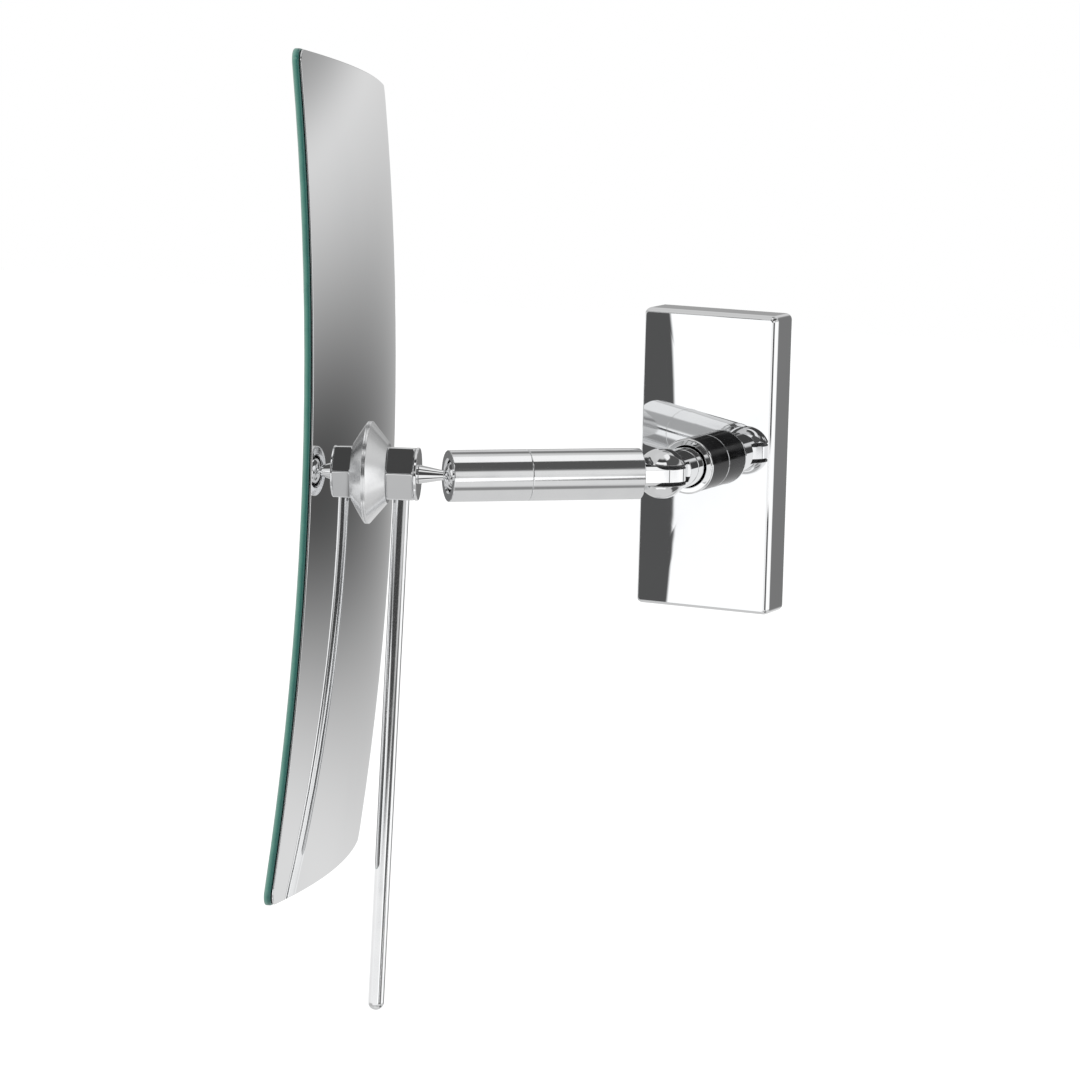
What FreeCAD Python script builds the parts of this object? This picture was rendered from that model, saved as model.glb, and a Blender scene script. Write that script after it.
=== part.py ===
import FreeCAD, Part
import math
import os

V = FreeCAD.Vector

# Wall-mounted makeup mirror: cover and bracket on the wall, a short barrel with a
# slotted knuckle, a swinging arm of two sections, a ball joint and a curved glass.
# World frame in millimetres: the wall is the plane y = 0, the object stands out
# towards -Y, Z is up and the origin is the middle of the cover's back.

# Photographed pose, in degrees
arm_swing = 48.8          # arm away from straight out, seen from above
head_lean = 21.4          # stud away from the arm, the same way round
head_roll = 6.2           # mirror about the stud

# Cover and bracket
cover_width = 45.7
cover_height = 95.2
cover_depth = 13.3
cover_wall = 1.5
cover_corner_r = 2.0
cover_inner_r = 0.8
cover_edge_r = 0.9
bracket_sheet = 2.0
bracket_width = 34.0
bracket_flange = 8.0
bracket_bend_r = 1.2
bracket_gap = 0.4
wall_hole_r = 2.6
wall_hole_spacing = 50.0
wall_hole_sink = 0.8

# Grub screw under the cover
grub_r = 2.0
grub_from_wall = 5.0
grub_bite = 0.6
grub_inset = 0.3
grub_socket_across = 2.0
grub_socket_depth = 1.8
thread_fit = 0.04

# Dark barrel with a bright rim, and the screw that holds it with the fork
neck_r = 6.3
neck_gap = 0.4
rim_width = 2.1
rim_t = 1.3
rim_step = 0.15           # rim stands proud of the barrel
barrel_length = 14.2
barrel_recess = 4.5
barrel_edge = 0.3
screw_r = 3.0
screw_head_r = 5.2
screw_head_t = 3.2
screw_bite = 8.0
screw_tip = 1.0
screw_hole_fit = 0.25
screw_slot_w = 1.2
screw_slot_d = 1.4
lock_washer_r = 5.4
lock_washer_t = 1.2

# Elbow
pivot_reach = 33.2        # cover front to the upright pin
knuckle_r = 7.9
tongue_t = 5.9
tongue_bevel = 1.0
slip_washer_t = 0.2
slip_play = 0.05
slot_clearance = 0.4
pin_r = 2.0
pin_fit = 0.03
pin_running_fit = 0.06
pin_dome_inset = 0.05
neck_edge = 0.5

# Ball joint and arm
ball_r = 5.5
ball_flat = 0.9           # cut off the back of the ball
ball_play = 0.25
seat_contact = 65.0       # where the seats touch the ball, in degrees from the arm's axis
seat_wall = 1.0
seat_fit = 0.15
tube_wall = 1.1
arm_length = 61.3         # elbow end of the tube to the mouth
sleeve_length = 25.2
tube_gap = 0.28           # tube end to the knuckle
tube_edge = 0.3
plug_fit = 0.05
plug_length = 14.0
coupling_tail = 12.0
mouth_depth = 4.2         # ball centre to the mouth
lip_t = 0.8
lip_width = 1.9
lip_flare = 0.5
seat_end_play = 0.06
seat_split = 0.6
seat_floor = 1.5
spring_sheet = 0.6
spring_rise = 0.6
spring_hole_r = 2.7
spring_inset = 0.4

# Stud, hexagon and rosette
stud_neck_r = 1.5
stud_base_r = 2.95
stud_shank_r = 2.5
stud_shank_length = 6.0
shank_fit = 0.05
stud_face_play = 0.06
collar_r = 8.2
collar_t = 1.0
collar_edge = 0.25
hex_across = 16.0
hex_t = 8.5
hex_corner_cut = 0.75
hex_end_cut = 0.5
cone_base_r = 15.8
cone_top_r = 9.3
cone_h = 5.9
cone_rim_t = 0.5
plate_stud_r = 2.2
plate_stud_bite = 1.4

# Mirror
mirror_width = 190.0
mirror_height = 248.0
mirror_corner_r = 5.0
mirror_radius = 1025.0     # curvature of the glass front
glass_t = 2.0
bond_t = 0.3
bond_play = 0.05
bond_inset = 3.0
plate_t = 0.5
plate_inset = 0.3
mirror_reach = 31.2       # ball centre to the glass front

# Handle rod
rod_r = 2.5
rod_drop = 158.0          # hexagon's lower flat to the tip
rod_lean = 0.9            # rod towards the glass, in degrees
rod_socket = 4.4
rod_fit = 0.03

# Sizes that follow from the ones above
bore_r = ball_r + ball_play + seat_wall + seat_fit
tube_r = bore_r + tube_wall
recess_r = neck_r + neck_gap
rim_r = recess_r + rim_width
barrel_r = rim_r - rim_step
slot_height = tongue_t + 2 * (slip_washer_t + slip_play)
tube_start = math.sqrt(knuckle_r ** 2 - (slot_height / 2) ** 2) + tube_gap
tongue_half = math.sqrt(tube_r ** 2 - (tongue_t / 2) ** 2)
mouth_at = tube_start + arm_length
ball_at = mouth_at - mouth_depth
seam_at = mouth_at - sleeve_length
neck_end = pivot_reach - barrel_length + barrel_recess
seat_front_at = mouth_at - lip_t - seat_end_play
seat_back_at = ball_at - ball_r - ball_play - seat_floor
spring_h = spring_sheet + spring_rise
nose_at = seat_back_at - seat_end_play - spring_h
plate_back_at = mirror_reach - glass_t - bond_t - plate_t
cone_front_at = plate_back_at - cone_h
hex_back_at = cone_front_at - hex_t
collar_at = hex_back_at - collar_t
rod_at = hex_back_at + hex_t / 2
curve_centre = mirror_reach + mirror_radius
bracket_height = cover_height - 2 * (cover_wall + bracket_gap)
pivot_y = -(cover_depth + pivot_reach)
arm_heading = -90.0 - arm_swing
head_heading = arm_heading - head_lean


def turned(*steps):
    # Solid of revolution about X. A step is (x, r), or (xm, rm, x, r) for an arc.
    edges = []
    start = V(steps[0][0], steps[0][1], 0)
    here = start
    for step in list(steps[1:]) + [steps[0]]:
        there = V(step[-2], step[-1], 0)
        if here.distanceToPoint(there) < 1e-7:
            continue
        if len(step) == 4:
            mid = V(step[0], step[1], 0)
            edges.append(Part.Arc(here, mid, there).toShape())
        else:
            edges.append(Part.LineSegment(here, there).toShape())
        here = there
    face = Part.Face(Part.Wire(edges))
    return face.revolve(V(0, 0, 0), V(1, 0, 0), 360)


def rod_x(r, x0, x1):
    return Part.makeCylinder(r, x1 - x0, V(x0, 0, 0), V(1, 0, 0))


def rod_z(r, z0, z1, x=0.0, y=0.0):
    return Part.makeCylinder(r, z1 - z0, V(x, y, z0), V(0, 0, 1))


def slab(x0, x1, width, height):
    # Block along X, centred on Y and Z
    return Part.makeBox(x1 - x0, width, height, V(x0, -width / 2, -height / 2))


def edges_along_x(shape):
    found = []
    for edge in shape.Edges:
        a = edge.Vertexes[0].Point
        b = edge.Vertexes[-1].Point
        if abs(a.y - b.y) < 1e-6 and abs(a.z - b.z) < 1e-6 and abs(a.x - b.x) > 1e-3:
            found.append(edge)
    return found


def edges_at_x(shape, x):
    return [e for e in shape.Edges if abs(e.BoundBox.XMin - x) < 1e-5 and abs(e.BoundBox.XMax - x) < 1e-5]


def rounded_slab(x0, x1, width, height, corner):
    block = slab(x0, x1, width, height)
    return block.makeFillet(corner, edges_along_x(block))


def hex_bar(across, x0, x1):
    # Hexagon with flats above and below
    reach = across / math.sqrt(3)
    points = []
    for k in range(7):
        turn = math.radians(60 * k)
        points.append(V(x0, reach * math.cos(turn), reach * math.sin(turn)))
    face = Part.Face(Part.makePolygon(points))
    return face.extrude(V(x1 - x0, 0, 0))


def wall_cover():
    shell = rounded_slab(0, cover_depth, cover_width, cover_height, cover_corner_r)
    shell = shell.makeFillet(cover_edge_r, edges_at_x(shell, cover_depth))
    inner_w = cover_width - 2 * cover_wall
    inner_h = cover_height - 2 * cover_wall
    hollow = rounded_slab(-1, cover_depth - cover_wall, inner_w, inner_h, cover_inner_r)
    shell = shell.cut(hollow)
    shell = shell.cut(rod_x(screw_r + screw_hole_fit, 0, cover_depth + 1))
    low = -cover_height / 2
    return shell.cut(rod_z(grub_r + thread_fit, low - 1, low + cover_wall + 1, grub_from_wall))


def wall_bracket():
    # Strip with both ends bent forward, flat on the wall
    h = bracket_height
    outer = slab(0, bracket_flange, bracket_width, h)
    inner = slab(bracket_sheet, bracket_flange + 1, bracket_width + 2, h - 2 * bracket_sheet)
    body = outer.cut(inner)
    bends = {0.0: bracket_bend_r + bracket_sheet, bracket_sheet: bracket_bend_r}
    for x, radius in bends.items():
        level = h / 2 - x
        picked = []
        for edge in edges_at_x(body, x):
            box = edge.BoundBox
            if abs(abs(box.ZMin) - level) < 1e-5 and box.YLength > 1:
                picked.append(edge)
        body = body.makeFillet(radius, picked)
    for side in (1, -1):
        z = side * wall_hole_spacing / 2
        hole = rod_x(wall_hole_r, -1, bracket_sheet + 1)
        sink = turned((bracket_sheet - wall_hole_sink, 0),
                      (bracket_sheet - wall_hole_sink, wall_hole_r),
                      (bracket_sheet, wall_hole_r + wall_hole_sink),
                      (bracket_sheet, 0))
        for tool in (hole, sink):
            tool.translate(V(0, 0, z))
            body = body.cut(tool)
    low = -h / 2
    return body.cut(rod_z(grub_r + thread_fit, low - 1, low + bracket_sheet + 1, grub_from_wall))


def cover_grub_screw():
    low = -cover_height / 2 + grub_inset
    top = -bracket_height / 2 + bracket_sheet + grub_bite
    screw = rod_z(grub_r, low, top, grub_from_wall)
    socket = hex_bar(grub_socket_across, 0, grub_socket_depth + 1)
    socket.rotate(V(0, 0, 0), V(0, 1, 0), -90)
    socket.translate(V(grub_from_wall, 0, low - 1))
    return screw.cut(socket)


def barrel():
    x0 = cover_depth
    x1 = cover_depth + barrel_length - rim_t
    floor = cover_depth + barrel_length - barrel_recess
    bore = screw_r + screw_hole_fit
    return turned((x0, bore), (x0, barrel_r - barrel_edge), (x0 + barrel_edge, barrel_r),
                  (x1, barrel_r), (x1, recess_r), (floor, recess_r), (floor, bore))


def rim_ring():
    x1 = cover_depth + barrel_length
    x0 = x1 - rim_t
    e = barrel_edge
    return turned((x0, recess_r), (x0, rim_r), (x1 - e, rim_r), (x1, rim_r - e), (x1, recess_r))


def spring_washer():
    # Split ring under the screw head
    x1 = cover_depth - cover_wall
    ring = rod_x(lock_washer_r, x1 - lock_washer_t, x1)
    ring = ring.cut(rod_x(screw_r + screw_hole_fit, 0, x1 + 1))
    split = Part.makeBox(lock_washer_t + 2, lock_washer_t, lock_washer_r + 1,
                         V(x1 - lock_washer_t - 1, -lock_washer_t / 2, 0))
    return ring.cut(split)


def fixing_screw():
    x1 = cover_depth - cover_wall - lock_washer_t
    x0 = x1 - screw_head_t
    tip = cover_depth + barrel_length - barrel_recess + screw_bite
    body = turned((x0, 0), (x0, screw_head_r), (x1, screw_head_r), (x1, screw_r),
                  (tip - screw_tip, screw_r), (tip, screw_r - screw_tip), (tip, 0))
    slot = Part.makeBox(screw_slot_d + 1, 4 * screw_head_r, screw_slot_w,
                        V(x0 - 1, -2 * screw_head_r, -screw_slot_w / 2))
    return body.cut(slot)


def elbow_fork():
    # Knuckle ball on a round neck, cut by a level slot that is open to both sides and flat at its
    # end, so that the tongue can swing until the arm lies along the wall
    ball = Part.makeSphere(knuckle_r)
    neck = turned((0, 0), (0, neck_r), (neck_edge - neck_end, neck_r),
                  (-neck_end, neck_r - neck_edge), (-neck_end, 0))
    body = ball.fuse(neck).removeSplitter()
    body = body.cut(slab(-knuckle_r - slot_clearance, knuckle_r + 1, 4 * knuckle_r, slot_height))
    body = body.cut(rod_z(pin_r + pin_fit, -knuckle_r - 1, knuckle_r + 1))
    depth = screw_bite + screw_tip
    body = body.cut(rod_x(screw_r + thread_fit, -neck_end - 1, depth - neck_end))
    body.translate(V(cover_depth + pivot_reach, 0, 0))
    return body


def hinge_pin():
    pin = rod_z(pin_r, -knuckle_r, knuckle_r)
    pin = pin.common(Part.makeSphere(knuckle_r - pin_dome_inset))
    pin.translate(V(cover_depth + pivot_reach, 0, 0))
    return pin


def arm_tongue():
    # Flat tongue with a round end and bevelled edges, as wide as the tube lets it be, and a plug
    # that closes the tube
    disc = rod_z(tongue_half, -tongue_t / 2, tongue_t / 2)
    bar = slab(0, tube_start, 2 * tongue_half, tongue_t)
    flat = disc.fuse(bar).removeSplitter()
    long_edges = [e for e in flat.Edges
                  if e.BoundBox.ZLength < slip_play and e.BoundBox.XMin < tube_start - slip_play]
    flat = flat.makeChamfer(tongue_bevel, long_edges)
    plug = rod_x(bore_r - plug_fit, tube_start, tube_start + plug_length)
    body = flat.fuse(plug).removeSplitter()
    return body.cut(rod_z(pin_r + pin_running_fit, -tongue_t, tongue_t))


def friction_washer(side):
    low = tongue_t / 2
    ring = rod_z(knuckle_r - slot_clearance, low, low + slip_washer_t)
    ring = ring.cut(rod_z(pin_r + pin_running_fit, low - 1, low + slip_washer_t + 1))
    if side < 0:
        ring.translate(V(0, 0, -tongue_t - slip_washer_t))
    return ring


def rear_tube():
    a = tube_start
    b = seam_at
    return turned((a, bore_r), (a, tube_r - tube_edge), (a + tube_edge, tube_r),
                  (b - tube_edge, tube_r), (b, tube_r - tube_edge), (b, bore_r))


def front_sleeve():
    # Screwed sleeve with an inward lip that keeps the ball in
    a = seam_at
    b = mouth_at
    lip_r = bore_r - lip_width
    return turned((a, bore_r), (a, tube_r - tube_edge), (a + tube_edge, tube_r),
                  (b - tube_edge, tube_r), (b, tube_r - tube_edge),
                  (b, lip_r + lip_flare), (b - lip_t, lip_r), (b - lip_t, bore_r))


def coupling_plug():
    # Joins the two tubes and backs the spring
    return rod_x(bore_r - plug_fit, seam_at - coupling_tail, nose_at)


def disc_spring():
    # Cone washer that presses the rear seat on the ball
    inner = spring_hole_r
    outer = bore_r - plug_fit - spring_inset
    a = nose_at + seat_end_play / 2
    return turned((a + spring_rise, inner), (a + spring_h, inner), (a + spring_sheet, outer), (a, outer))


def seat_ring(x0, x1):
    # Ring with a conical bore that touches the ball's play sphere along one circle
    turn = math.radians(seat_contact)
    reach = ball_r + ball_play
    r = bore_r - seat_fit
    r0, r1 = [(reach - abs(x - ball_at) * math.cos(turn)) / math.sin(turn) for x in (x0, x1)]
    return turned((x0, r0), (x0, r), (x1, r), (x1, r1))


def seat_front():
    return seat_ring(ball_at + seat_split / 2, seat_front_at)


def seat_rear():
    return seat_ring(seat_back_at, ball_at - seat_split / 2)


def ball_stud():
    face = collar_at - stud_face_play
    tip = hex_back_at + stud_shank_length
    root = math.sqrt(ball_r ** 2 - stud_neck_r ** 2)
    back = ball_flat - ball_r
    flat_r = math.sqrt(ball_r ** 2 - back ** 2)
    return turned((back, 0), (back, flat_r), (0, ball_r, root, stud_neck_r), (face, stud_base_r),
                  (face, stud_shank_r), (tip, stud_shank_r), (tip, 0))


def stud_collar():
    x0 = collar_at
    x1 = hex_back_at
    r = collar_r
    e = collar_edge
    return turned((x0, stud_shank_r + shank_fit), (x0, r - e), (x0 + e, r), (x1 - e, r),
                  (x1, r - e), (x1, stud_shank_r + shank_fit))


def hex_block():
    bar = hex_bar(hex_across, hex_back_at, cone_front_at)
    reach = hex_across / math.sqrt(3)
    x0 = hex_back_at
    x1 = cone_front_at
    full = reach - hex_corner_cut / 4
    low = reach - hex_corner_cut
    guard = turned((x0, 0), (x0, low), (x0 + hex_end_cut, full), (x1 - hex_end_cut, full),
                   (x1, low), (x1, 0))
    body = bar.common(guard)
    body = body.cut(rod_x(stud_shank_r + shank_fit, x0 - 1, x0 + stud_shank_length + shank_fit))
    body = body.cut(rod_x(plate_stud_r + thread_fit, x1 - plate_stud_bite - thread_fit, x1 + 1))
    flat = -hex_across / 2
    return body.cut(leaning(rod_z(rod_r + rod_fit, flat - 3, flat + rod_socket, rod_at)))


def hub_cone():
    x0 = cone_front_at
    x1 = plate_back_at
    over = x1 + 1
    bore = plate_stud_r + thread_fit
    cone = turned((x0, bore), (x0, cone_top_r), (x1 - cone_rim_t, cone_base_r),
                  (over, cone_base_r), (over, bore))
    return cone.cut(curve_sphere(plate_back_at))


def plate_stud():
    stud = rod_x(plate_stud_r, cone_front_at - plate_stud_bite, plate_back_at + 1)
    return stud.cut(curve_sphere(plate_back_at))


def curve_sphere(at):
    # Sphere about the glass's centre of curvature that meets the stud's axis there
    return Part.makeSphere(curve_centre - at, V(curve_centre, 0, 0))


def curved_sheet(front_at, thickness, inset):
    sag = (mirror_width ** 2 + mirror_height ** 2) / (4 * mirror_radius)
    block = rounded_slab(front_at - 2 * thickness - 1, front_at + sag,
                         mirror_width - 2 * inset, mirror_height - 2 * inset,
                         mirror_corner_r)
    sheet = block.common(curve_sphere(front_at - thickness))
    return sheet.cut(curve_sphere(front_at)).Solids[0]


def leaning(shape):
    # Swings a piece of the rod towards the glass about the hexagon's lower flat
    shape.rotate(V(rod_at, 0, -hex_across / 2), V(0, 1, 0), -rod_lean)
    return shape


def handle_rod():
    # Straight rod with a domed tip, its upper end in the hexagon
    top = -hex_across / 2 + rod_socket - rod_fit
    tip = -hex_across / 2 - rod_drop
    rod = turned((-top, 0), (-top, rod_r), (-tip - rod_r, rod_r),
                 (-tip - rod_r * (1 - math.sqrt(0.5)), rod_r * math.sqrt(0.5), -tip, 0))
    rod.rotate(V(0, 0, 0), V(0, 1, 0), 90)
    rod.translate(V(rod_at, 0, 0))
    return leaning(rod)


def on_wall(shape):
    shape.rotate(V(0, 0, 0), V(0, 0, 1), -90)
    return shape


def on_arm(shape):
    shape.rotate(V(0, 0, 0), V(0, 0, 1), arm_heading)
    shape.translate(V(0, pivot_y, 0))
    return shape


def ball_centre():
    turn = math.radians(arm_heading)
    return V(ball_at * math.cos(turn), pivot_y + ball_at * math.sin(turn), 0)


def on_head(shape):
    shape.rotate(V(0, 0, 0), V(1, 0, 0), head_roll)
    shape.rotate(V(0, 0, 0), V(0, 0, 1), head_heading)
    shape.translate(ball_centre())
    return shape


pieces = {
    "wall_cover": on_wall(wall_cover()),
    "wall_bracket": on_wall(wall_bracket()),
    "cover_grub_screw": on_wall(cover_grub_screw()),
    "barrel": on_wall(barrel()),
    "rim_ring": on_wall(rim_ring()),
    "spring_washer": on_wall(spring_washer()),
    "fixing_screw": on_wall(fixing_screw()),
    "elbow_fork": on_wall(elbow_fork()),
    "hinge_pin": on_wall(hinge_pin()),
    "arm_tongue": on_arm(arm_tongue()),
    "friction_washer_upper": on_arm(friction_washer(1)),
    "friction_washer_lower": on_arm(friction_washer(-1)),
    "rear_tube": on_arm(rear_tube()),
    "front_sleeve": on_arm(front_sleeve()),
    "coupling_plug": on_arm(coupling_plug()),
    "disc_spring": on_arm(disc_spring()),
    "seat_front": on_arm(seat_front()),
    "seat_rear": on_arm(seat_rear()),
    "ball_stud": on_head(ball_stud()),
    "stud_collar": on_head(stud_collar()),
    "hex_block": on_head(hex_block()),
    "hub_cone": on_head(hub_cone()),
    "plate_stud": on_head(plate_stud()),
    "back_plate": on_head(curved_sheet(mirror_reach - glass_t - bond_t, plate_t, plate_inset)),
    "bond_layer": on_head(curved_sheet(mirror_reach - glass_t - bond_play, bond_t - 2 * bond_play,
                                       bond_inset)),
    "mirror_glass": on_head(curved_sheet(mirror_reach, glass_t, 0)),
    "handle_rod": on_head(handle_rod()),
}

os.makedirs("parts", exist_ok=True)
for name, shape in pieces.items():
    solid = shape.Solids[0] if len(shape.Solids) == 1 else shape
    solid.exportStep("parts/" + name + ".step")
    print(name, "solids", len(shape.Solids), "valid", shape.isValid(), "volume", round(shape.Volume, 2))
print("pivot", 0.0, round(pivot_y, 4))
print("ball centre", [round(c, 4) for c in ball_centre()])
print("arm heading", arm_heading, "head heading", head_heading)
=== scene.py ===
import math
import bpy
import numpy as np
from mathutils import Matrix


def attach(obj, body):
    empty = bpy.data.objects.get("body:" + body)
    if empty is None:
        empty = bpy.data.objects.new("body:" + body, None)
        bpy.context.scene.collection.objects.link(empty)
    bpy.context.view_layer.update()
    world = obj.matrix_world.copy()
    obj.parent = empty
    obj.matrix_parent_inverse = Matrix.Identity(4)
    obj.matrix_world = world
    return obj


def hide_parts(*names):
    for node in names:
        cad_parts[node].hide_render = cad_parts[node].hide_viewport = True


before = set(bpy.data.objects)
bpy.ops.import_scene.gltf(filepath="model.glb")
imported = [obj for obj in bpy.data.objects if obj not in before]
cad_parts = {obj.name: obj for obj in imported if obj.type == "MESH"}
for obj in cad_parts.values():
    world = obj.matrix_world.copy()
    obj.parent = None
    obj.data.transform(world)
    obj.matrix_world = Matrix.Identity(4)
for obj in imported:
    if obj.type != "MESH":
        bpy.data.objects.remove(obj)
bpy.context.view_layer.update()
scene = bpy.context.scene

# Lengths in the piece dictionaries are millimetres, angles are degrees
stand = {"pivotY": -46.5, "armHeading": -138.8, "headHeading": -160.2, "headRoll": 6.2, "tubeAt": 7.503,
         "armLength": 61.3, "sleeveLength": 25.2, "mouthDepth": 4.2}
mouthAt = stand["tubeAt"] + stand["armLength"]


def turnAbout(axis, degrees):
    # Rotation matrix about one coordinate axis
    a, b = [k for k in range(3) if k != axis]
    c, s = math.cos(math.radians(degrees)), math.sin(math.radians(degrees))
    m = np.eye(3)
    m[a, a] = m[b, b] = c
    m[a, b], m[b, a] = (s, -s) if axis == 1 else (-s, s)
    return m


armTurn = turnAbout(2, stand["armHeading"])
pivot = np.array([0, stand["pivotY"], 0])
ballCentre = pivot + armTurn @ np.array([mouthAt - stand["mouthDepth"], 0, 0])
# Where pieces are modelled: rotation and origin in the shared frame, with x out from the wall or along the axis
onWall = (turnAbout(2, -90), np.zeros(3))
onPivot = (turnAbout(2, -90), pivot)
onArm = (armTurn, pivot)
onHead = (turnAbout(2, stand["headHeading"]) @ turnAbout(0, stand["headRoll"]), ballCentre)


def softPath(nodes, closed=False, steps=5, runs=1):
    # Polyline in a plane whose corners are rounded. A node is (u, v, fillet); a fillet below 0 marks a point
    # of a smooth curve. Gives rows (u, v, normal u, normal v), the normal to the left of travel.
    leastFillet, nearHalf = 0.02, 0.49  # a fillet takes up less than half of the run on either side
    nodes = np.array(nodes, float)
    p, f = nodes[:, :2], nodes[:, 2]
    n = len(p)
    ahead = np.roll(p, -1, 0) - p
    length = np.linalg.norm(ahead, axis=1)
    d = ahead / np.maximum(length, 1e-9)[:, None]
    left = np.stack([-d[:, 1], d[:, 0]], 1)
    rows = []
    for k in range(n):
        if not closed and k in (0, n - 1):
            q = left[k] if k == 0 else left[k - 1]
            rows.append(np.array([[*p[k], *q]]))
            continue
        d1, d2, n1 = d[k - 1], d[k], left[k - 1]
        if f[k] < 0:
            m = left[k - 1] + left[k]
            rows.append(np.array([[*p[k], *(m / np.linalg.norm(m))]]))
            continue
        turn = math.atan2(d1[0] * d2[1] - d1[1] * d2[0], d1 @ d2)
        reach = max(f[k], leastFillet) * abs(math.tan(turn / 2))
        reach = min(reach, nearHalf * length[k - 1], nearHalf * length[k])
        fillet = reach / max(abs(math.tan(turn / 2)), 1e-6)
        side = 1.0 if turn > 0 else -1.0
        t = np.linspace(0, turn, steps + 1)
        c, s = np.cos(t), np.sin(t)
        swung = np.stack([c * n1[0] - s * n1[1], s * n1[0] + c * n1[1]], 1)
        centre = p[k] - d1 * reach + n1 * fillet * side
        rows.append(np.hstack([centre - swung * fillet * side, swung]))
    if runs > 1:
        filled = []
        for k, row in enumerate(rows):
            filled.append(row)
            after = rows[(k + 1) % len(rows)]
            if k == len(rows) - 1 and not closed:
                break
            share = np.linspace(0, 1, runs + 1)[1:-1, None]
            filled.append(row[-1] * (1 - share) + after[0] * share)
        rows = filled
    return np.vstack(rows)


def arcNodes(centre, radius, start, stop, count):
    # Points of a circle in the (along, radius) plane, from one angle to another, marked smooth
    a = np.radians(np.linspace(start, stop, count))
    return [(centre + radius * c, radius * s, -1) for c, s in zip(np.cos(a), np.sin(a))]


def ringQuads(rows, columns, closeRows=False):
    # Quads of a grid whose columns run round and meet
    r = np.arange(rows if closeRows else rows - 1)[:, None]
    c = np.arange(columns)[None, :]
    after, beside = (r + 1) % rows, (c + 1) % columns
    corners = [r * columns + c, r * columns + beside, after * columns + beside, after * columns + c]
    return np.stack(corners, -1).reshape(-1, 4)


def loftShell(points, normals, closeRows=False, start=None, stop=None):
    # Closed loops joined row by row. An open end closes on a pole (point, normal) or, with "flat", on its
    # own loop.
    rows, columns = points.shape[:2]
    faces = [ringQuads(rows, columns, closeRows)]
    allPoints, allNormals = [points.reshape(-1, 3)], [normals.reshape(-1, 3)]
    total = rows * columns
    loop = np.arange(columns)
    for end, first, way in ((start, 0, 1), (stop, (rows - 1) * columns, -1)):
        if end is None:
            continue
        if isinstance(end, str):
            faces.append((first + loop)[None, ::-way])
            continue
        allPoints.append(np.array([end[0]], float))
        allNormals.append(np.array([end[1]], float))
        fan = np.stack([np.full(columns, total), first + np.roll(loop, -1), first + loop], 1)
        faces.append(fan if way > 0 else fan[:, [0, 2, 1]])
        total += 1
    return {"points": np.vstack(allPoints), "normals": np.vstack(allNormals), "faces": faces}


def turnedShell(path, sides=160, closed=False, axis=0):
    # Surface of revolution: (along, r) goes to (along, r cos a, r sin a) about the axis, and its normal likewise
    a = np.linspace(0, 2 * math.pi, sides, endpoint=False)
    c, s = np.cos(a), np.sin(a)

    def swept(along, r):
        flat = np.stack([np.repeat(along[:, None], sides, 1), r[:, None] * c, r[:, None] * s], -1)
        return np.roll(flat, axis, -1)

    poles = [None, None]
    rows = path
    for k, row in ((0, path[0]), (1, path[-1])):
        if not closed and row[1] < 1e-6:
            point = np.roll([row[0], 0, 0], axis)
            poles[k] = (point, np.roll([-1.0 if k == 0 else 1.0, 0, 0], axis))
            rows = rows[1:] if k == 0 else rows[:-1]
    return loftShell(swept(rows[:, 0], rows[:, 1]), swept(rows[:, 2], rows[:, 3]), closed, poles[0], poles[1])


def outward(shell):
    # Turns the faces round where the enclosed volume comes out negative
    p = shell["points"]
    volume = sum(np.einsum("ij,ikj->", p[f[:, 0]], np.cross(p[f[:, 1:-1]], p[f[:, 2:]]))
                 for f in shell["faces"])
    if volume < 0:
        shell["faces"] = [f[:, ::-1] for f in shell["faces"]]
    return shell


def makePiece(name, shells, where, body, nodes, materials):
    # Joins the shells into one mesh in the shared frame, in metres, with the worked-out normals on it
    shells = [outward(s) for s in shells]
    first = np.cumsum([0] + [len(s["points"]) for s in shells])
    points = np.vstack([s["points"] for s in shells]) @ where[0].T + where[1]
    normals = np.vstack([s["normals"] for s in shells]) @ where[0].T
    normals /= np.maximum(np.linalg.norm(normals, axis=1), 1e-9)[:, None]
    faces, shades = [], []
    for s, start in zip(shells, first):
        for k, f in enumerate(s["faces"]):
            faces += (f + start).tolist()
            shade = s["shade"][k] if "shade" in s else 0
            shades += np.broadcast_to(shade, len(f)).tolist()
    mesh = bpy.data.meshes.new(name)
    mesh.from_pydata((points / 1000).tolist(), [], faces)
    for material in materials:
        mesh.materials.append(material)
    mesh.polygons.foreach_set("use_smooth", [True] * len(mesh.polygons))
    mesh.polygons.foreach_set("material_index", shades)
    mesh.normals_split_custom_set_from_vertices(normals.tolist())
    mesh.update()
    piece = bpy.data.objects.new(name, mesh)
    scene.collection.objects.link(piece)
    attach(piece, body)
    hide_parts(*nodes)


# Finishes

def addNode(tree, kind, inputs=None, **settings):
    node = tree.nodes.new(kind)
    for key, value in settings.items():
        setattr(node, key, value)
    for key, value in (inputs or {}).items():
        if isinstance(value, bpy.types.NodeSocket):
            tree.links.new(value, node.inputs[key])
        else:
            node.inputs[key].default_value = value
    return node


def newGroup(name, inputs, outputs):
    group = bpy.data.node_groups.new(name, "ShaderNodeTree")
    for direction, sockets in (("INPUT", inputs), ("OUTPUT", outputs)):
        for label, kind, value in sockets:
            socket = group.interface.new_socket(name=label, in_out=direction, socket_type="NodeSocket" + kind)
            if value is not None:
                socket.default_value = value
    return group, addNode(group, "NodeGroupInput").outputs, addNode(group, "NodeGroupOutput").inputs


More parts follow.
